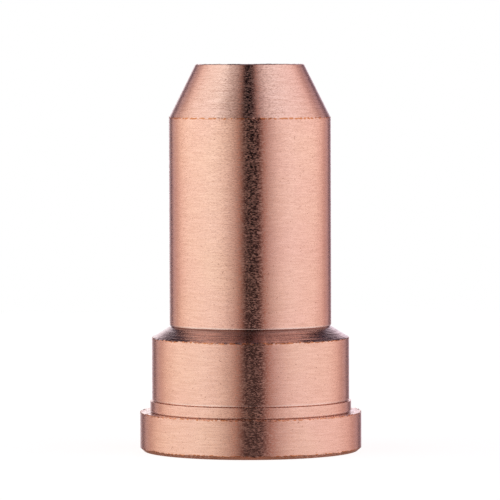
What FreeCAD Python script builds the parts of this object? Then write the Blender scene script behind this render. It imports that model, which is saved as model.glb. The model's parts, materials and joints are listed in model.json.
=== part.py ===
import FreeCAD, Part
import enum
import os
import types

import Sketcher

# Plasma torch nozzle, turned and bored from one bar of copper.
#
# It stands on its rear face, with +Z towards the nose and the origin at the middle of
# the rear face. From the rear it has a flange that the torch's cap clamps, a narrow band,
# a collar, a conical shoulder, a long plain barrel and a conical nose. Where one step
# meets the next, the turning tool has cut in at 45 degrees and left a fine root relief.
# Inside, a seat takes the front of the torch's gas cartridge, a step leads in to the
# chamber round the electrode, and a conical throat narrows to the orifice.

# name, millimetres, what it is
SIZES = [
    ("flange_diameter", 17.4, "rear flange, over its rim"),
    ("flange_thickness", 3.05, "rear face to the flange's front face"),
    ("band_diameter", 15.8, "narrow locating band in front of the flange"),
    ("band_length", 0.89, "along the axis, with its root relief"),
    ("collar_diameter", 15.5, "wide step in front of the band"),
    ("collar_length", 4.94, "along the axis, with its root relief"),
    ("shoulder_length", 0.92, "cone from the collar in to the barrel, along the axis"),
    ("barrel_diameter", 12.7, "long plain part"),
    ("barrel_length", 16.35, "along the axis, with its root relief"),
    ("nose_length", 4.2, "conical nose, along the axis"),
    ("nose_face_diameter", 8.5, "flat front face, before its edge is broken"),
    ("root_relief", 0.09, "depth and height of the 45 degree cut at each root"),
    ("rear_edge_break", 0.28, "chamfer round the flange's rear edge"),
    ("nose_edge_break", 0.06, "chamfer round the front face"),
    ("seat_diameter", 12.2, "bore that takes the gas cartridge"),
    ("seat_depth", 6.0, "rear face to the end of the seat"),
    ("seat_lead_in", 0.3, "chamfer at the seat's mouth"),
    ("seat_step_length", 1.6, "cone from the seat in to the chamber, along the axis"),
    ("chamber_diameter", 9.0, "bore round the electrode"),
    ("throat_length", 3.85, "cone from the chamber in to the orifice, along the axis"),
    ("orifice_diameter", 1.3, "hole that the arc leaves by"),
    ("orifice_length", 4.0, "throat to the front face"),
    ("orifice_flare", 0.12, "chamfer where the orifice opens"),
]
SHEET = "sizes"
FULL_TURN_DEGREES = 360
SAME_RING_MM = 1e-4


class Point(enum.IntEnum):
    """Sketcher's number for each point that a line or a circle has."""

    START = 1
    END = 2
    MIDDLE = 3


class Axis(enum.IntEnum):
    """Sketcher's number for each of a sketch's own axes, which start at its origin."""

    HORIZONTAL = -1
    VERTICAL = -2


class Size:
    """A length: its number now, and the sheet's expression that it stays bound to."""

    def __init__(self, number, expression):
        self.number = number
        self.expression = expression

    def __add__(self, other):
        return Size(self.number + other.number, f"{self.expression} + {other.expression}")

    def __sub__(self, other):
        return Size(self.number - other.number, f"{self.expression} - ({other.expression})")

    def half(self):
        return Size(self.number / 2, f"({self.expression}) / 2")


ZERO = Size(0, "0")


def write_sheet(doc):
    """Writes the driving dimensions into the spreadsheet and gives each back as a Size."""
    sheet = doc.addObject("Spreadsheet::Sheet", SHEET)
    sizes = {}
    for row, (name, millimetres, meaning) in enumerate(SIZES, start=1):
        sheet.set(f"A{row}", name)
        sheet.set(f"B{row}", str(millimetres))
        sheet.set(f"C{row}", meaning)
        sheet.setAlias(f"B{row}", name)
        sizes[name] = Size(millimetres, f"{SHEET}.{name}")
    doc.recompute()
    return types.SimpleNamespace(**sizes)


def outside_corners(sizes):
    """Half section of the outside, from the rear face up to the nose: name, radius, height."""
    flange_radius = sizes.flange_diameter.half()
    band_radius = sizes.band_diameter.half()
    collar_radius = sizes.collar_diameter.half()
    barrel_radius = sizes.barrel_diameter.half()
    flange_front = sizes.flange_thickness
    band_front = flange_front + sizes.band_length
    collar_front = band_front + sizes.collar_length
    shoulder_front = collar_front + sizes.shoulder_length
    barrel_front = shoulder_front + sizes.barrel_length
    nose_front = barrel_front + sizes.nose_length
    relief = sizes.root_relief
    return [
        ("rear_middle", ZERO, ZERO),
        ("flange_rear", flange_radius, ZERO),
        ("flange_front", flange_radius, flange_front),
        ("band_root", band_radius - relief, flange_front),
        ("band_rear", band_radius, flange_front + relief),
        ("band_front", band_radius, band_front),
        ("collar_root", collar_radius - relief, band_front),
        ("collar_rear", collar_radius, band_front + relief),
        ("collar_front", collar_radius, collar_front),
        ("barrel_root", barrel_radius - relief, shoulder_front),
        ("barrel_rear", barrel_radius, shoulder_front + relief),
        ("barrel_front", barrel_radius, barrel_front),
        ("nose_rim", sizes.nose_face_diameter.half(), nose_front),
        ("nose_middle", ZERO, nose_front),
    ]


def bore_corners(sizes, nose_front):
    """Half section of the bore, from its mouth up to the orifice: name, radius, height."""
    seat_radius = sizes.seat_diameter.half()
    chamber_radius = sizes.chamber_diameter.half()
    throat_front = nose_front - sizes.orifice_length
    chamber_front = throat_front - sizes.throat_length
    return [
        ("mouth_middle", ZERO, ZERO),
        ("mouth", seat_radius, ZERO),
        ("seat_end", seat_radius, sizes.seat_depth),
        ("chamber_rear", chamber_radius, sizes.seat_depth + sizes.seat_step_length),
        ("chamber_front", chamber_radius, chamber_front),
        ("throat_front", sizes.orifice_diameter.half(), throat_front),
        ("throat_middle", ZERO, throat_front),
    ]


def sketch_on(body, role, name):
    """A new sketch of the body, on its origin plane with that role, such as XZ_Plane."""
    plane = next(plane for plane in body.Origin.OriginFeatures if plane.Role == role)
    sketch = body.newObject("Sketcher::SketchObject", name)
    sketch.AttachmentSupport = (plane, [""])
    sketch.MapMode = "FlatFace"
    return sketch


def dimension(sketch, name, size, kind, *places):
    """Adds a named dimension to a sketch, and binds it to the sheet."""
    sketch.addConstraint(Sketcher.Constraint(kind, *places, size.number))
    sketch.renameConstraint(sketch.ConstraintCount - 1, name)
    sketch.setExpression(f"Constraints.{name}", size.expression)


def half_section(body, name, corners):
    """A sketch of a closed half section, each of its corners held by a radius and a height.

    A line between corners that share a radius or a height is held vertical or horizontal.
    """
    sketch = sketch_on(body, "XZ_Plane", name)
    origin = (Axis.HORIZONTAL, Point.START)
    points = [FreeCAD.Vector(radius.number, height.number, 0) for _, radius, height in corners]
    for start, end in zip(points, points[1:] + points[:1]):
        sketch.addGeometry(Part.LineSegment(start, end))
    for line in range(len(corners)):
        line_before = (line - 1) % len(corners)
        joined = (line_before, Point.END, line, Point.START)
        sketch.addConstraint(Sketcher.Constraint("Coincident", *joined))
    for line, (corner, radius, height) in enumerate(corners):
        line_before = (line - 1) % len(corners)
        _, radius_before, height_before = corners[line_before]
        corner_point = (line, Point.START)
        if radius is ZERO:
            on_axis = Sketcher.Constraint("PointOnObject", *corner_point, Axis.VERTICAL)
            sketch.addConstraint(on_axis)
        elif radius is radius_before:
            sketch.addConstraint(Sketcher.Constraint("Vertical", line_before))
        else:
            dimension(sketch, f"{corner}_radius", radius, "DistanceX", *origin, *corner_point)
        if height is ZERO:
            on_rear_face = Sketcher.Constraint("PointOnObject", *corner_point, Axis.HORIZONTAL)
            sketch.addConstraint(on_rear_face)
        elif height is height_before:
            sketch.addConstraint(Sketcher.Constraint("Horizontal", line_before))
        else:
            dimension(sketch, f"{corner}_height", height, "DistanceY", *origin, *corner_point)
    return sketch


def turn(body, kind, name, sketch):
    """Turns a half section a full turn about the nozzle's axis, to add or to cut."""
    feature = body.newObject(kind, name)
    feature.Profile = sketch
    feature.ReferenceAxis = (sketch, ["V_Axis"])
    feature.Angle = FULL_TURN_DEGREES
    return feature


def drill_orifice(body, diameter):
    """Drills the orifice on the axis, from the throat out through the nose."""
    sketch = sketch_on(body, "XY_Plane", "orifice_circle")
    middle = FreeCAD.Vector(0, 0, 0)
    towards_nose = FreeCAD.Vector(0, 0, 1)
    circle = sketch.addGeometry(Part.Circle(middle, towards_nose, diameter.number / 2))
    centred = (circle, Point.MIDDLE, Axis.HORIZONTAL, Point.START)
    sketch.addConstraint(Sketcher.Constraint("Coincident", *centred))
    dimension(sketch, "orifice_diameter", diameter, "Diameter", circle)
    pocket = body.newObject("PartDesign::Pocket", "orifice")
    pocket.Profile = sketch
    pocket.Type = "ThroughAll"
    pocket.Reversed = True
    return pocket


def ring_names(shape, radius, height):
    """Names of a shape's circular edges of that radius, at that height."""
    names = []
    for number, edge in enumerate(shape.Edges, start=1):
        if not isinstance(edge.Curve, Part.Circle):
            continue
        same_radius = abs(edge.Curve.Radius - radius.number) < SAME_RING_MM
        same_height = abs(edge.Curve.Center.z - height.number) < SAME_RING_MM
        if same_radius and same_height:
            names.append(f"Edge{number}")
    return names


def break_edge(body, name, size, radius, height):
    """Chamfers the ring of that radius and height."""
    base = body.Tip
    chamfer = body.newObject("PartDesign::Chamfer", name)
    chamfer.Base = (base, ring_names(base.Shape, radius, height))
    chamfer.setExpression("Size", size.expression)
    return chamfer


def cut_into(doc, feature):
    """Recomputes, and stops if a feature that should remove metal has removed none."""
    before = feature.BaseFeature.Shape.Volume
    doc.recompute()
    if not feature.Shape.Volume < before:
        raise RuntimeError(f"{feature.Label} cuts nothing")


def make_nozzle(doc, sizes):
    """Turns the outside, bores the inside, drills the orifice and breaks the edges."""
    body = doc.addObject("PartDesign::Body", "nozzle")
    outside = outside_corners(sizes)
    nose_front = outside[-1][2]
    outside_sketch = half_section(body, "outside_section", outside)
    turn(body, "PartDesign::Revolution", "outside", outside_sketch)
    doc.recompute()

    bore_sketch = half_section(body, "bore_section", bore_corners(sizes, nose_front))
    cut_into(doc, turn(body, "PartDesign::Groove", "bore", bore_sketch))
    cut_into(doc, drill_orifice(body, sizes.orifice_diameter))

    edges = [
        ("rear_edge", sizes.rear_edge_break, sizes.flange_diameter, ZERO),
        ("nose_edge", sizes.nose_edge_break, sizes.nose_face_diameter, nose_front),
        ("seat_mouth", sizes.seat_lead_in, sizes.seat_diameter, ZERO),
        ("orifice_mouth", sizes.orifice_flare, sizes.orifice_diameter, nose_front),
    ]
    for name, size, diameter, height in edges:
        cut_into(doc, break_edge(body, name, size, diameter.half(), height))
    return body


def check(doc, parts):
    """Stops if any object of the document has failed, or a part is not one sound solid."""
    for thing in doc.Objects:
        if "Invalid" in thing.State or "Error" in thing.State:
            raise RuntimeError(f"{thing.Label} failed: {thing.State}")
    for part in parts:
        shape = part.Shape
        if shape.isNull() or not shape.isValid() or len(shape.Solids) != 1:
            raise RuntimeError(f"{part.Label} is not one sound solid")


doc = FreeCAD.newDocument("plasma_torch_nozzle")
parts = [make_nozzle(doc, write_sheet(doc))]
check(doc, parts)
os.makedirs("parts", exist_ok=True)
for part in parts:
    part.Shape.exportStep(f"parts/{part.Label}.step")
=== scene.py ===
import json
import math
from dataclasses import dataclass

import bmesh
import bpy
from mathutils import Matrix, Vector


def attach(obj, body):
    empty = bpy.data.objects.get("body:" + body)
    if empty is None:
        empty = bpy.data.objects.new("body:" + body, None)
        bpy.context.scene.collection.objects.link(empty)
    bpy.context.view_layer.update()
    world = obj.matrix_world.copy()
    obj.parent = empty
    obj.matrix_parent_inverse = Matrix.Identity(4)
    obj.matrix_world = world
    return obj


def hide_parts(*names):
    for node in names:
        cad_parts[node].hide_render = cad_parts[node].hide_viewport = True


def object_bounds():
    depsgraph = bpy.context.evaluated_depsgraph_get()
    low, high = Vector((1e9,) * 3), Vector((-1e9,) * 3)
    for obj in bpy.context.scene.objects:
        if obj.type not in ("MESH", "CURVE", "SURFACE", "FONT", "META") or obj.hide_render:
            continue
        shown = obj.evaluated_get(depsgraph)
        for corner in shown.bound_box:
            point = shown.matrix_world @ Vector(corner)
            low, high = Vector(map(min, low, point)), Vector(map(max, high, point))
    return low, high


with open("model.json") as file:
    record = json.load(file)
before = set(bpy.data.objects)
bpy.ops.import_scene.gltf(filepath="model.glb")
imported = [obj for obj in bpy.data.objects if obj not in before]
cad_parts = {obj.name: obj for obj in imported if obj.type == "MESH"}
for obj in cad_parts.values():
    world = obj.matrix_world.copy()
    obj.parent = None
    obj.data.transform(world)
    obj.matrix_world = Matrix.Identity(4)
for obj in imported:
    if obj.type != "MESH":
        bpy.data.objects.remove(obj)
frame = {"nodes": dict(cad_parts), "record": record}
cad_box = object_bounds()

# A nozzle for a plasma torch, turned and bored from copper bar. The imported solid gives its
# half section. The section is turned again here, finely enough to carry the burrs that the
# tools leave at the corners, and it gets the finish of bright, fine-turned copper.

MM = 0.001
MOUNTS = {mount["name"]: mount for mount in frame["record"]["mounts"]}
FLOOR_LEVEL, TOP_LEVEL = cad_box[0].z, cad_box[1].z

# Places closer than this are one place, and a bend gentler than this is no corner.
SAME_PLACE = 1e-6
NO_CORNER = 0.01
MERGE_GAP, PLANE_GAP = 1e-7, 1e-8

# The turned form. Its outward corners are rounded over an ease, a broad one at the nose's rim
# and just in front of a root. Rows lie at these distances from each corner, but stop a little
# before the middle of a wall.
STEPS_AROUND = 640
EASE = 0.015 * MM
BROAD_EASE = 0.05 * MM
EASE_ROWS = 4
ROWS_BY_CORNER = [0.03 * MM, 0.07 * MM, 0.13 * MM, 0.22 * MM]
BEFORE_MIDDLE = 2.2
SHARP_EDGE = math.radians(32)

# The burrs: the width of their lumps in millimetres, how far the lumps swing, and their seed.
BURR_GRAIN = 0.6
BURR_SWING = 4.0
BURR_SEED = 4.0

# What each row says to the finish: millimetres travelled along the section, and how far the
# metal is torn, painted with shade at a root, painted with a highlight beside a root, or
# coarsely turned.
ROW_MARKS = ["along", "torn", "painted_root_shade", "painted_root_highlight", "coarse"]
# How far the painted shade in a root and the painted highlight beside a root reach.
PAINTED_ROOT_REACH = 0.07 * MM
SHOULDER_COARSE = 1.0
NOSE_COARSE = 0.25


# ---------------------------------------------------------------- small tools


def linear(hex_colour):
    """An sRGB colour such as "#c87850", as linear red, green, blue and alpha."""
    values = [int(hex_colour[i : i + 2], 16) / 255 for i in (1, 3, 5)]
    return (*[v / 12.92 if v <= 0.04045 else ((v + 0.055) / 1.055) ** 2.4 for v in values], 1)


def add(tree, kind, inputs=(), **settings):
    """Adds a node, with its inputs in order or by name.

    An input takes a value, or another node or its output, which is linked.
    """
    node = tree.nodes.new(kind)
    for name, value in settings.items():
        setattr(node, name, value)
    sockets = [socket for socket in node.inputs if socket.enabled]
    named = {socket.name: socket for socket in reversed(sockets)}
    pairs = inputs.items() if isinstance(inputs, dict) else zip(sockets, inputs)
    for socket, value in pairs:
        socket = named[socket] if isinstance(socket, str) else socket
        if isinstance(value, bpy.types.Node):
            value = next(output for output in value.outputs if output.enabled)
        if isinstance(value, bpy.types.NodeSocket):
            tree.links.new(value, socket)
        else:
            socket.default_value = value
    return node


# ---------------------------------------------------------------- the turned form


def half_section(node):
    """Corners of the solid's half section as (radius, height): up the outside, down the bore."""
    solid = bmesh.new()
    solid.from_mesh(node.data)
    bmesh.ops.remove_doubles(solid, verts=solid.verts, dist=MERGE_GAP)
    bmesh.ops.bisect_plane(
        solid,
        geom=solid.verts[:] + solid.edges[:] + solid.faces[:],
        dist=PLANE_GAP,
        plane_co=(0, 0, 0),
        plane_no=(0, 1, 0),
        clear_inner=True,
        clear_outer=True,
    )
    places = {v: Vector((v.co.x, v.co.z)) for v in solid.verts if v.co.x > 0}
    on_floor = [v for v in places if places[v].y < FLOOR_LEVEL + SAME_PLACE]
    walk = [max(on_floor, key=lambda v: places[v].x)]
    while True:
        ahead = [edge.other_vert(walk[-1]) for edge in walk[-1].link_edges]
        ahead = [v for v in ahead if v in places and v not in walk]
        if not ahead:
            break
        walk.append(max(ahead, key=lambda v: places[v].y))
    points = [places[v] for v in walk]
    solid.free()
    runs = zip(points[-1:] + points[:-1], points, points[1:] + points[:1])
    return [b for a, b, c in runs if abs((b - a).normalized().cross((c - b).normalized())) > NO_CORNER]


def front_of(mount_name):
    """Radius and height of the front end of the round wall that a mount of the record names."""
    mount = MOUNTS[mount_name]
    height = mount["pos_m"][2] + mount["dims"]["length_mm"] * MM / 2
    return Vector((mount["dims"]["r_mm"] * MM, height))


@dataclass
class Burr:
    """Ragged metal round one corner.

    It stands out by lip, wanders along the axis by wander, and fades over reach. The metal
    looks torn over torn_reach, or not at all where that is None.
    """

    corner: Vector
    lip: float
    wander: float
    reach: float
    torn_reach: float | None


def nose_rim(section):
    """The outer corner of the flat front face."""
    on_top = [corner for corner in section if corner.y > TOP_LEVEL - SAME_PLACE]
    return max(on_top, key=lambda corner: corner.x)


def burrs(section):
    """The five corners that the tools left ragged."""
    rim = max(corner.x for corner in section)
    on_rim = [corner for corner in section if corner.x > rim - SAME_PLACE]
    flange_front = max(on_rim, key=lambda corner: corner.y)
    rear_break = min(on_rim, key=lambda corner: corner.y)
    return [
        Burr(front_of("barrel"), lip=0.01 * MM, wander=0.08 * MM, reach=0.08 * MM, torn_reach=0.08 * MM),
        Burr(front_of("collar"), lip=0.02 * MM, wander=0.12 * MM, reach=0.10 * MM, torn_reach=0.08 * MM),
        Burr(flange_front, lip=0.02 * MM, wander=0.12 * MM, reach=0.10 * MM, torn_reach=0.08 * MM),
        Burr(rear_break, lip=0.0, wander=0.10 * MM, reach=0.12 * MM, torn_reach=0.05 * MM),
        Burr(nose_rim(section), lip=0.0, wander=0.05 * MM, reach=0.08 * MM, torn_reach=None),
    ]


def corners_of(section):
    """Each corner with the ones before and after it, and whether it stands out."""
    for before, corner, after in zip(section[-1:] + section[:-1], section, section[1:] + section[:1]):
        yield before, corner, after, (after - corner).cross(before - corner) > 0


def turned_rows(section):
    """The section with its outward corners eased, and with rows close to each corner.

    The nose's rim and the corners just in front of a root are eased more than the others.
    """
    rows = []
    after_root = False
    for before, corner, after, stands_out in corners_of(section):
        back, on = before - corner, after - corner
        if stands_out:
            ease = BROAD_EASE if after_root or corner == nose_rim(section) else EASE
            start, end = corner + back.normalized() * ease, corner + on.normalized() * ease
            close = [d for d in ROWS_BY_CORNER if d > ease]
            behind = [d for d in reversed(close) if d < back.length / BEFORE_MIDDLE]
            rows += [corner + back.normalized() * d for d in behind]
            for i in range(EASE_ROWS):
                t = i / (EASE_ROWS - 1)
                rows.append((1 - t) ** 2 * start + 2 * t * (1 - t) * corner + t**2 * end)
            ahead = [d for d in close if d < on.length / BEFORE_MIDDLE]
            rows += [corner + on.normalized() * d for d in ahead]
        else:
            rows.append(corner)
        after_root = not stands_out
    return rows


def row_object(rows, section):
    """A mesh that holds one point for each row, with what the turned form needs to know there."""
    mesh = bpy.data.meshes.new("section_rows")
    mesh.from_pydata([(row.x, 0, row.y) for row in rows], [], [])
    ragged = burrs(section)
    roots = [corner for _, corner, _, stands_out in corners_of(section) if not stands_out]
    after_root = [after for _, _, after, stands_out in corners_of(section) if not stands_out]
    collar_front, barrel_front = front_of("collar"), front_of("barrel")
    barrel_foot = barrel_front.y - MOUNTS["barrel"]["dims"]["length_mm"] * MM
    values = {name: [] for name in ROW_MARKS}
    burr_vectors = []
    travelled = 0.0
    for before, row in zip(rows[:1] + rows, rows):
        travelled += (row - before).length
        near = [(burr, (row - burr.corner).length) for burr in ragged]
        lip = sum(burr.lip * math.exp(-((gap / burr.reach) ** 2)) for burr, gap in near)
        wander = sum(burr.wander * math.exp(-((gap / burr.reach) ** 2)) for burr, gap in near)
        torn = [math.exp(-((gap / burr.torn_reach) ** 2)) for burr, gap in near if burr.torn_reach]
        root_gap = min((row - root).length for root in roots)
        beside = min((row - corner).length for corner in after_root)
        outside = row.x > MOUNTS["cartridge_seat"]["dims"]["r_mm"] * MM
        on_shoulder = collar_front.y - SAME_PLACE < row.y < barrel_foot and outside
        on_nose = row.y > barrel_front.y - SAME_PLACE
        values["along"].append(travelled / MM)
        values["torn"].append(max(torn))
        values["painted_root_shade"].append(math.exp(-((root_gap / PAINTED_ROOT_REACH) ** 2)))
        values["painted_root_highlight"].append(math.exp(-((beside / PAINTED_ROOT_REACH) ** 2)) if outside else 0.0)
        values["coarse"].append(SHOULDER_COARSE if on_shoulder else NOSE_COARSE if on_nose else 0.0)
        burr_vectors += [lip, 0, wander]
    for name in ROW_MARKS:
        mesh.attributes.new(name, "FLOAT", "POINT").data.foreach_set("value", values[name])
    mesh.attributes.new("burr", "FLOAT_VECTOR", "POINT").data.foreach_set("vector", burr_vectors)
    return bpy.data.objects.new("section_rows", mesh)


def turning_tree():
    """Geometry Nodes that turn the rows about the axis and roughen the burred ones."""
    tree = bpy.data.node_groups.new("turned_from_rows", "GeometryNodeTree")
    for name, kind in (
        ("Rows", "NodeSocketGeometry"),
        ("Steps Around", "NodeSocketInt"),
        ("Burr Grain", "NodeSocketFloat"),
        ("Seed", "NodeSocketFloat"),
        ("Finish", "NodeSocketMaterial"),
    ):
        tree.interface.new_socket(name, in_out="INPUT", socket_type=kind)
    tree.interface.new_socket("Turned", in_out="OUTPUT", socket_type="NodeSocketGeometry")
    given = add(tree, "NodeGroupInput").outputs

    size = add(tree, "GeometryNodeAttributeDomainSize", [given["Rows"]])
    count = size.outputs["Point Count"]
    grid_rows = add(tree, "ShaderNodeMath", [count, 1], operation="ADD")
    columns = add(tree, "ShaderNodeMath", [given["Steps Around"], 1], operation="ADD")
    grid = add(tree, "GeometryNodeMeshGrid", {"Vertices X": grid_rows, "Vertices Y": columns})
    index = add(tree, "GeometryNodeInputIndex")
    share = add(tree, "ShaderNodeMath", [index, columns], operation="DIVIDE")
    whole = add(tree, "ShaderNodeMath", [share], operation="FLOOR")
    row = add(tree, "ShaderNodeMath", [whole, count], operation="FLOORED_MODULO")
    column = add(tree, "ShaderNodeMath", [index, columns], operation="FLOORED_MODULO")
    turn_share = add(tree, "ShaderNodeMath", [column, given["Steps Around"]], operation="DIVIDE")
    turn = add(tree, "ShaderNodeMath", [turn_share, math.tau], operation="MULTIPLY")

    position = add(tree, "GeometryNodeInputPosition")
    burr = add(tree, "GeometryNodeInputNamedAttribute", ["burr"], data_type="FLOAT_VECTOR")
    turned = []
    for vector in (position, burr):
        at_row = add(
            tree,
            "GeometryNodeSampleIndex",
            {"Geometry": given["Rows"], "Value": vector, "Index": row},
            data_type="FLOAT_VECTOR",
        )
        inputs = {"Vector": at_row, "Angle": turn}
        turned.append(add(tree, "ShaderNodeVectorRotate", inputs, rotation_type="Z_AXIS"))
    place, stands_out = turned
    in_mm = add(tree, "ShaderNodeVectorMath", {"Vector": place, "Scale": 1 / MM}, operation="SCALE")
    grain = add(
        tree,
        "ShaderNodeTexNoise",
        {
            "Vector": in_mm,
            "W": given["Seed"],
            "Scale": add(tree, "ShaderNodeMath", [1.0, given["Burr Grain"]], operation="DIVIDE"),
            "Detail": 4.0,
            "Roughness": 0.62,
        },
        noise_dimensions="4D",
    )
    swing = add(
        tree,
        "ShaderNodeVectorMath",
        [grain.outputs["Color"], [BURR_SWING] * 3, [-BURR_SWING / 2] * 3],
        operation="MULTIPLY_ADD",
    )
    offset = add(tree, "ShaderNodeVectorMath", [stands_out, swing], operation="MULTIPLY")
    shape = add(
        tree, "GeometryNodeSetPosition", {"Geometry": grid, "Position": place, "Offset": offset}
    )
    for name in ROW_MARKS:
        value = add(tree, "GeometryNodeInputNamedAttribute", [name], data_type="FLOAT")
        at_row = add(
            tree,
            "GeometryNodeSampleIndex",
            {"Geometry": given["Rows"], "Value": value, "Index": row},
            data_type="FLOAT",
        )
        stored = {"Geometry": shape, "Name": name, "Value": at_row}
        shape = add(tree, "GeometryNodeStoreNamedAttribute", stored, data_type="FLOAT", domain="POINT")
    closed = add(tree, "GeometryNodeMergeByDistance", {"Geometry": shape, "Distance": MERGE_GAP})
    real = add(tree, "GeometryNodeRealizeInstances", [closed])
    finished = add(
        tree, "GeometryNodeSetMaterial", {"Geometry": real, "Material": given["Finish"]}
    )
    add(tree, "NodeGroupOutput", [finished])
    return tree


def plain_mesh(thing, tree, name, values):
    """Runs a Geometry Nodes tree on an object and keeps the result as a plain mesh object."""
    bpy.context.collection.objects.link(thing)
    nodes = thing.modifiers.new("nodes", "NODES")
    nodes.node_group = tree
    for item in tree.interface.items_tree:
        if item.in_out == "INPUT" and item.name in values:
            nodes[item.identifier] = values[item.name]
    evaluated = thing.evaluated_get(bpy.context.evaluated_depsgraph_get())
    mesh = bpy.data.meshes.new_from_object(evaluated)
    bpy.data.objects.remove(thing)
    mesh.name = name
    piece = bpy.data.objects.new(name, mesh)
    bpy.context.collection.objects.link(piece)
    return piece


# ---------------------------------------------------------------- finishes


# The finish, in millimetres: how far apart the rings of the tool lie and how deep they are, and
# how wide grain, pits, flecks of torn metal and paler patches are. The grain is flatter along the
# axis than round it, and tilts the surface a little.
RING_PITCH = 0.08
RING_DEPTH, COARSE_RING_DEPTH = 0.001, 0.03
RING_CUTS, COARSE_RING_CUTS = 6.0, 1.5
GRAIN_WIDTH = 0.2
GRAIN_FLATNESS = 3.5
GRAIN_TILT = 0.09
PIT_WIDTH = 0.17
FLECK_WIDTH = 0.25
PATCH_WIDTH = 5.0
BRIGHT_ROUGHNESS, DULL_ROUGHNESS, SHOULDER_ROUGHNESS = 0.06, 0.5, 0.3


def turned_copper():
    """Oxygen-free copper, fine-turned dry from bar.

    The eye gets fine rings, coarser on the shoulder, a fine grain that glitters where the
    reflection is dark, a few pits, painted shade in the roots, a painted highlight beside each
    root, and redder metal at torn burrs.
    """
    material = bpy.data.materials.new("fine_turned_copper")
    material.use_nodes = True
    tree = material.node_tree
    tree.nodes.clear()
    place = add(tree, "ShaderNodeTexCoord").outputs["Object"]
    in_mm = add(tree, "ShaderNodeVectorMath", {"Vector": place, "Scale": 1 / MM}, operation="SCALE")
    mark = {
        name: add(tree, "ShaderNodeAttribute", attribute_name=name).outputs["Fac"]
        for name in ROW_MARKS
    }

    off_axis = add(tree, "ShaderNodeVectorMath", [place, (1, 1, 0)], operation="MULTIPLY")
    outward = add(tree, "ShaderNodeVectorMath", [off_axis], operation="NORMALIZE")
    around = add(tree, "ShaderNodeVectorMath", [(0, 0, 1), outward], operation="CROSS_PRODUCT")
    ring_count = add(tree, "ShaderNodeMath", [mark["along"], RING_PITCH], operation="DIVIDE")
    ring_up = add(tree, "ShaderNodeCombineXYZ", {"Z": ring_count})
    ring_cuts = add(
        tree, "ShaderNodeMapRange", [mark["coarse"], 0.0, 1.0, RING_CUTS, COARSE_RING_CUTS]
    )
    ring_turn = add(
        tree, "ShaderNodeVectorMath", {"Vector": outward, "Scale": ring_cuts}, operation="SCALE"
    )
    ring_place = add(tree, "ShaderNodeVectorMath", [ring_turn, ring_up], operation="ADD")
    rings = add(tree, "ShaderNodeTexNoise", {"Vector": ring_place, "Scale": 1.0, "Detail": 1.0})
    ring_depth = add(
        tree, "ShaderNodeMapRange", [mark["coarse"], 0.0, 1.0, RING_DEPTH, COARSE_RING_DEPTH]
    )
    relief = add(tree, "ShaderNodeMath", [rings, ring_depth], operation="MULTIPLY")
    bump = add(tree, "ShaderNodeBump", {"Strength": 1.0, "Distance": MM, "Height": relief})
    flattened = add(tree, "ShaderNodeVectorMath", [in_mm, (1, 1, GRAIN_FLATNESS)], operation="MULTIPLY")
    grain = add(
        tree,
        "ShaderNodeTexNoise",
        {"Vector": flattened, "Scale": 1 / GRAIN_WIDTH, "Detail": 3.0, "Roughness": 0.65},
    )
    tilt = add(
        tree,
        "ShaderNodeVectorMath",
        [grain.outputs["Color"], [GRAIN_TILT] * 3, [-GRAIN_TILT / 2] * 3],
        operation="MULTIPLY_ADD",
    )
    tilted = add(tree, "ShaderNodeVectorMath", [bump, tilt], operation="ADD")
    normal = add(tree, "ShaderNodeVectorMath", [tilted], operation="NORMALIZE")

    patches = add(tree, "ShaderNodeTexNoise", {"Vector": in_mm, "Scale": 1 / PATCH_WIDTH, "Detail": 2.0})
    pits = add(tree, "ShaderNodeTexNoise", {"Vector": in_mm, "Scale": 1 / PIT_WIDTH, "Detail": 2.0})
    flecks = add(tree, "ShaderNodeTexNoise", {"Vector": in_mm, "Scale": 1 / FLECK_WIDTH, "Detail": 3.0})
    fleck_share = add(tree, "ShaderNodeMapRange", [flecks, 0.42, 0.58, 0.35, 1.3])
    torn = add(tree, "ShaderNodeMath", [mark["torn"], fleck_share], operation="MULTIPLY")
    torn = add(tree, "ShaderNodeMapRange", [torn, 0.35, 0.8])
    dull = add(
        tree, "ShaderNodeMapRange", [mark["coarse"], 0.0, 1.0, DULL_ROUGHNESS, SHOULDER_ROUGHNESS]
    )
    rough = add(tree, "ShaderNodeMapRange", [grain, 0.44, 0.6, BRIGHT_ROUGHNESS, dull])
    ring_shade = add(tree, "ShaderNodeMapRange", [mark["coarse"], 0.0, 1.0, 0.3, 0.9])
    colour = linear("#fbd5c2")
    for amount, other in (
        (add(tree, "ShaderNodeMapRange", [patches, 0.35, 0.65]), "#fad1c2"),
        (add(tree, "ShaderNodeMapRange", [rings, 0.3, 0.7, 0.0, ring_shade]), "#c89680"),
        (add(tree, "ShaderNodeMapRange", [pits, 0.68, 0.74, 0.0, 0.6]), "#8a5644"),
        # The shoulder, and a little the nose, is greyed and darkened: partly duller coarse-cut metal,
        # partly painted shade of the occlusion in its deep rings.
        (add(tree, "ShaderNodeMath", [mark["coarse"], 0.5], operation="MULTIPLY"), "#a88c8c"),
        # Painted highlight: whitish metal just beside each root.
        (add(tree, "ShaderNodeMath", [mark["painted_root_highlight"], 0.9], operation="MULTIPLY"), "#fff0e8"),
        # Painted shade: darker metal in each root.
        (add(tree, "ShaderNodeMapRange", [mark["painted_root_shade"], 0.3, 0.9, 0.0, 0.4]), "#7a5a54"),
        (torn, "#d48e62"),
    ):
        inputs = {"Factor": amount, "A": colour, "B": linear(other)}
        colour = add(tree, "ShaderNodeMix", inputs, data_type="RGBA")
    surface = add(
        tree,
        "ShaderNodeBsdfPrincipled",
        {
            "Base Color": colour,
            "Metallic": 1.0,
            "Roughness": rough,
            "Anisotropic": 0.6,
            "Anisotropic Rotation": 0.25,
            "Tangent": around,
            "Normal": normal,
        },
    )
    add(tree, "ShaderNodeOutputMaterial", [surface])
    return material


PAPER_GLOW = 0.85


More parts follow.
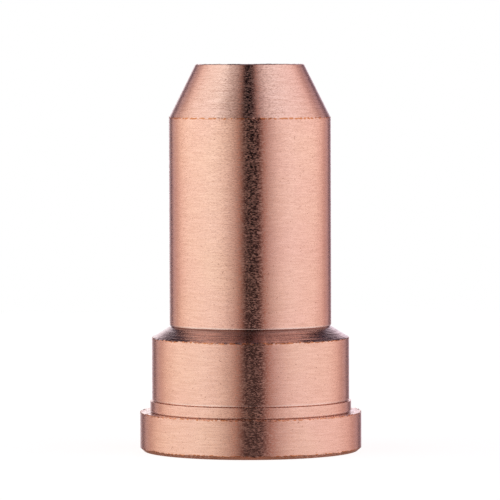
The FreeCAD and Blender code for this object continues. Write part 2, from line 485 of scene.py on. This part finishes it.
def white_paper():
    """White paper: it shows white, and keeps the nozzle's shadow."""
    material = bpy.data.materials.new("white_paper")
    material.use_nodes = True
    tree = material.node_tree
    tree.nodes.clear()
    path = add(tree, "ShaderNodeLightPath")
    paper = add(tree, "ShaderNodeBsdfDiffuse", [linear("#f0f0f0")])
    lit = add(tree, "ShaderNodeBsdfDiffuse", [linear("#a0a0a0")])
    glow = add(tree, "ShaderNodeEmission", [(1, 1, 1, 1), PAPER_GLOW])
    seen = add(tree, "ShaderNodeAddShader", [lit, glow])
    top = add(tree, "ShaderNodeMixShader", [path.outputs["Is Camera Ray"], paper, seen])
    clear = add(tree, "ShaderNodeBsdfTransparent")
    below = add(tree, "ShaderNodeNewGeometry").outputs["Backfacing"]
    both = add(tree, "ShaderNodeMixShader", [below, top, clear])
    add(tree, "ShaderNodeOutputMaterial", [both])
    return material


# ---------------------------------------------------------------- the studio


# Degrees round from the camera's side, either way, and the light that comes from there: a black
# strip with soft edges at the camera, white boxes at the sides, warm cards behind them, a dark
# gap, and white paper at the back. A program fitted all of these colours but the last two.
STUDIO_WALLS = [
    (0, "#08090e"),
    (9, "#2a1e21"),
    (13, "#6b524d"),
    (18, "#a68479"),
    (26, "#c7b5ae"),
    (40, "#ebe1da"),
    (58, "#faf5ef"),
    (100, "#fbf1e9"),
    (118, "#efdad0"),
    (130, "#caada5"),
    (142, "#bba5a8"),
    (152, "#614e5a"),
    (160, "#847981"),
    (170, "#eae2f0"),
    (178, "#faf4fa"),
]
# The dark strip leans by degrees round for each degree up, and stands a little to one side.
STRIP_LEAN = 0.1
STRIP_OFFSET = 1.5
BOX_STRENGTH = 1.2

# Degrees over which each thing in the studio comes in: round from the camera's side first.
RIGHT_SIDE = (-10, 10)
BEHIND = (120, 150)
PAST_CARDS = (164, 173)
TABLE_IN_FRONT = (125, 105)
SOFT_CARD_PLACE = 34.0
SOFT_CARD = (28, 6)
# Then upwards, and downwards where they are negative.
ABOVE_FLOOR = (1, 6)
RISING = (5, 50)
BACK_TOP = (12, 34)
SOFT_CARD_UP = (15, 45)
OVERHEAD = (56, 64)
SINKING = (0, -8)
STRIP_FOOT = (-2.5, -4.2)
TABLE = (-8, -16)
UNDERNEATH = (-42, -58)


def studio():
    """Light for a small bright thing: white sides and back, a dark strip at the camera."""
    world = bpy.data.worlds.new("studio")
    world.use_nodes = True
    tree = world.node_tree
    tree.nodes.clear()
    direction = add(tree, "ShaderNodeTexCoord").outputs["Generated"]
    parts = add(tree, "ShaderNodeSeparateXYZ", [direction])
    climb = add(tree, "ShaderNodeMath", [parts.outputs["Z"]], operation="ARCSINE")
    up = add(tree, "ShaderNodeMath", [climb], operation="DEGREES")
    to_camera = add(tree, "ShaderNodeMath", [parts.outputs["Y"], -1.0], operation="MULTIPLY")
    turn = add(tree, "ShaderNodeMath", [parts.outputs["X"], to_camera], operation="ARCTAN2")
    azimuth = add(tree, "ShaderNodeMath", [turn], operation="DEGREES")
    lean = add(tree, "ShaderNodeMath", [up, STRIP_LEAN, -STRIP_OFFSET], operation="MULTIPLY_ADD")
    right = add(tree, "ShaderNodeMath", [azimuth, lean], operation="ADD")
    off_front = add(tree, "ShaderNodeMath", [right], operation="ABSOLUTE")
    share = add(tree, "ShaderNodeMath", [off_front, 180.0], operation="DIVIDE")
    walls = add(tree, "ShaderNodeValToRGB", [share])
    ramp = walls.color_ramp
    for degrees, colour in STUDIO_WALLS[1:-1]:
        ramp.elements.new(degrees / 180).color = linear(colour)
    ramp.elements[0].color = linear(STUDIO_WALLS[0][1])
    ramp.elements[-1].color = linear(STUDIO_WALLS[-1][1])

    behind = add(tree, "ShaderNodeMapRange", [off_front, *BEHIND], interpolation_type="SMOOTHSTEP")
    past_cards = add(tree, "ShaderNodeMapRange", [off_front, *PAST_CARDS])
    above_floor = add(tree, "ShaderNodeMapRange", [up, *ABOVE_FLOOR])
    paper = add(tree, "ShaderNodeMath", [past_cards, above_floor], operation="MULTIPLY")
    in_front = add(tree, "ShaderNodeMapRange", [off_front, *TABLE_IN_FRONT])
    below = add(tree, "ShaderNodeMapRange", [up, *TABLE])
    table = add(tree, "ShaderNodeMath", [below, in_front], operation="MULTIPLY")
    far = add(tree, "ShaderNodeMath", [1.0, in_front], operation="SUBTRACT")
    shaded_table = add(tree, "ShaderNodeMath", [below, far], operation="MULTIPLY")
    underneath = add(tree, "ShaderNodeMapRange", [up, *UNDERNEATH])
    shade = add(tree, "ShaderNodeMath", [shaded_table, underneath], operation="MAXIMUM")
    back_top = add(tree, "ShaderNodeMapRange", [up, *BACK_TOP], interpolation_type="SMOOTHSTEP")
    over_back = add(tree, "ShaderNodeMath", [behind, back_top], operation="MULTIPLY")
    overhead = add(tree, "ShaderNodeMapRange", [up, *OVERHEAD], interpolation_type="SMOOTHSTEP")
    dark_top = add(tree, "ShaderNodeMath", [overhead, over_back], operation="MAXIMUM")
    to_card = add(tree, "ShaderNodeMath", [right, SOFT_CARD_PLACE], operation="ADD")
    off_card = add(tree, "ShaderNodeMath", [to_card], operation="ABSOLUTE")
    card = add(tree, "ShaderNodeMapRange", [off_card, *SOFT_CARD], interpolation_type="SMOOTHSTEP")
    high = add(tree, "ShaderNodeMapRange", [up, *SOFT_CARD_UP], interpolation_type="SMOOTHSTEP")
    high_card = add(tree, "ShaderNodeMath", [card, high], operation="MULTIPLY")
    light = walls.outputs["Color"]
    for amount, tint, blend in (
        (paper, linear("#fffaff"), "MIX"),
        (add(tree, "ShaderNodeMapRange", [right, *RIGHT_SIDE]), linear("#f8f2f8"), "MULTIPLY"),
        (add(tree, "ShaderNodeMapRange", [up, *RISING]), (1.0, 1.08, 1.14, 1), "MULTIPLY"),
        (high_card, linear("#e2dede"), "MULTIPLY"),
        (add(tree, "ShaderNodeMapRange", [up, *SINKING]), linear("#d4ceca"), "MULTIPLY"),
        (add(tree, "ShaderNodeMapRange", [up, *STRIP_FOOT]), (0.05, 0.032, 0.03, 1), "ADD"),
        (table, (1.2, 1.3, 1.4, 1), "MULTIPLY"),
        (dark_top, linear("#706c78"), "MULTIPLY"),
        (shade, linear("#7f6054"), "MIX"),
    ):
        inputs = {"Factor": amount, "A": light, "B": tint}
        light = add(tree, "ShaderNodeMix", inputs, data_type="RGBA", blend_type=blend)
    boxes = add(tree, "ShaderNodeVectorMath", {"Vector": light, "Scale": BOX_STRENGTH}, operation="SCALE")
    path = add(tree, "ShaderNodeLightPath")
    seen = add(
        tree,
        "ShaderNodeMix",
        {"Factor": path.outputs["Is Camera Ray"], "A": boxes, "B": (1, 1, 1, 1)},
        data_type="RGBA",
    )
    background = add(tree, "ShaderNodeBackground", [seen, 1.0])
    add(tree, "ShaderNodeOutputWorld", [background])
    bpy.context.scene.world = world


FLOOR_RADIUS = 180 * MM
FLOOR_SIDES = 96
FLOOR_GAP = 0.005 * MM


def floor():
    """A round sheet of paper under the nozzle."""
    disc = bmesh.new()
    bmesh.ops.create_circle(disc, cap_ends=True, segments=FLOOR_SIDES, radius=FLOOR_RADIUS)
    bmesh.ops.translate(disc, verts=disc.verts, vec=(0, 0, FLOOR_LEVEL - FLOOR_GAP))
    mesh = bpy.data.meshes.new("floor")
    disc.to_mesh(mesh)
    disc.free()
    mesh.materials.append(white_paper())
    sheet = bpy.data.objects.new("floor", mesh)
    bpy.context.collection.objects.link(sheet)
    sheet.visible_glossy = False


CAMERA_DISTANCE = 320 * MM
CAMERA_HEIGHT = 30.2 * MM
AIM_HEIGHT = 15.75 * MM
AIM_SIDE = -0.017 * MM
FIELD_OF_VIEW = math.radians(7.018)
ROLL = math.radians(-0.18)
NEAR_CLIP, FAR_CLIP = 0.01, 5.0


def camera():
    """Level with the front face, and looking a little down at the middle of the nozzle."""
    data = bpy.data.cameras.new("camera")
    data.angle = FIELD_OF_VIEW
    data.clip_start, data.clip_end = NEAR_CLIP, FAR_CLIP
    eye = Vector((AIM_SIDE, -CAMERA_DISTANCE, CAMERA_HEIGHT))
    aim = Vector((AIM_SIDE, 0, AIM_HEIGHT))
    turn = (aim - eye).to_track_quat("-Z", "Y").to_matrix().to_4x4()
    thing = bpy.data.objects.new("camera", data)
    thing.matrix_world = Matrix.Translation(eye) @ turn @ Matrix.Rotation(ROLL, 4, "Z")
    bpy.context.collection.objects.link(thing)
    bpy.context.scene.camera = thing


# ---------------------------------------------------------------- the nozzle


def nozzle():
    """The one piece: its section turned again, with the finish on it."""
    section = half_section(frame["nodes"]["nozzle"])
    rows = turned_rows(section)
    piece = plain_mesh(
        row_object(rows, section),
        turning_tree(),
        "turned_nozzle",
        {
            "Steps Around": STEPS_AROUND,
            "Burr Grain": BURR_GRAIN,
            "Seed": BURR_SEED,
            "Finish": turned_copper(),
        },
    )
    mesh = piece.data
    solid = bmesh.new()
    solid.from_mesh(mesh)
    if solid.calc_volume(signed=True) < 0:
        bmesh.ops.reverse_faces(solid, faces=solid.faces)
    solid.to_mesh(mesh)
    solid.free()
    mesh.shade_smooth()
    mesh.set_sharp_from_angle(angle=SHARP_EDGE)
    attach(piece, "root")
    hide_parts("nozzle")


nozzle()
floor()
studio()
camera()
bpy.context.scene.view_settings.view_transform = "Standard"
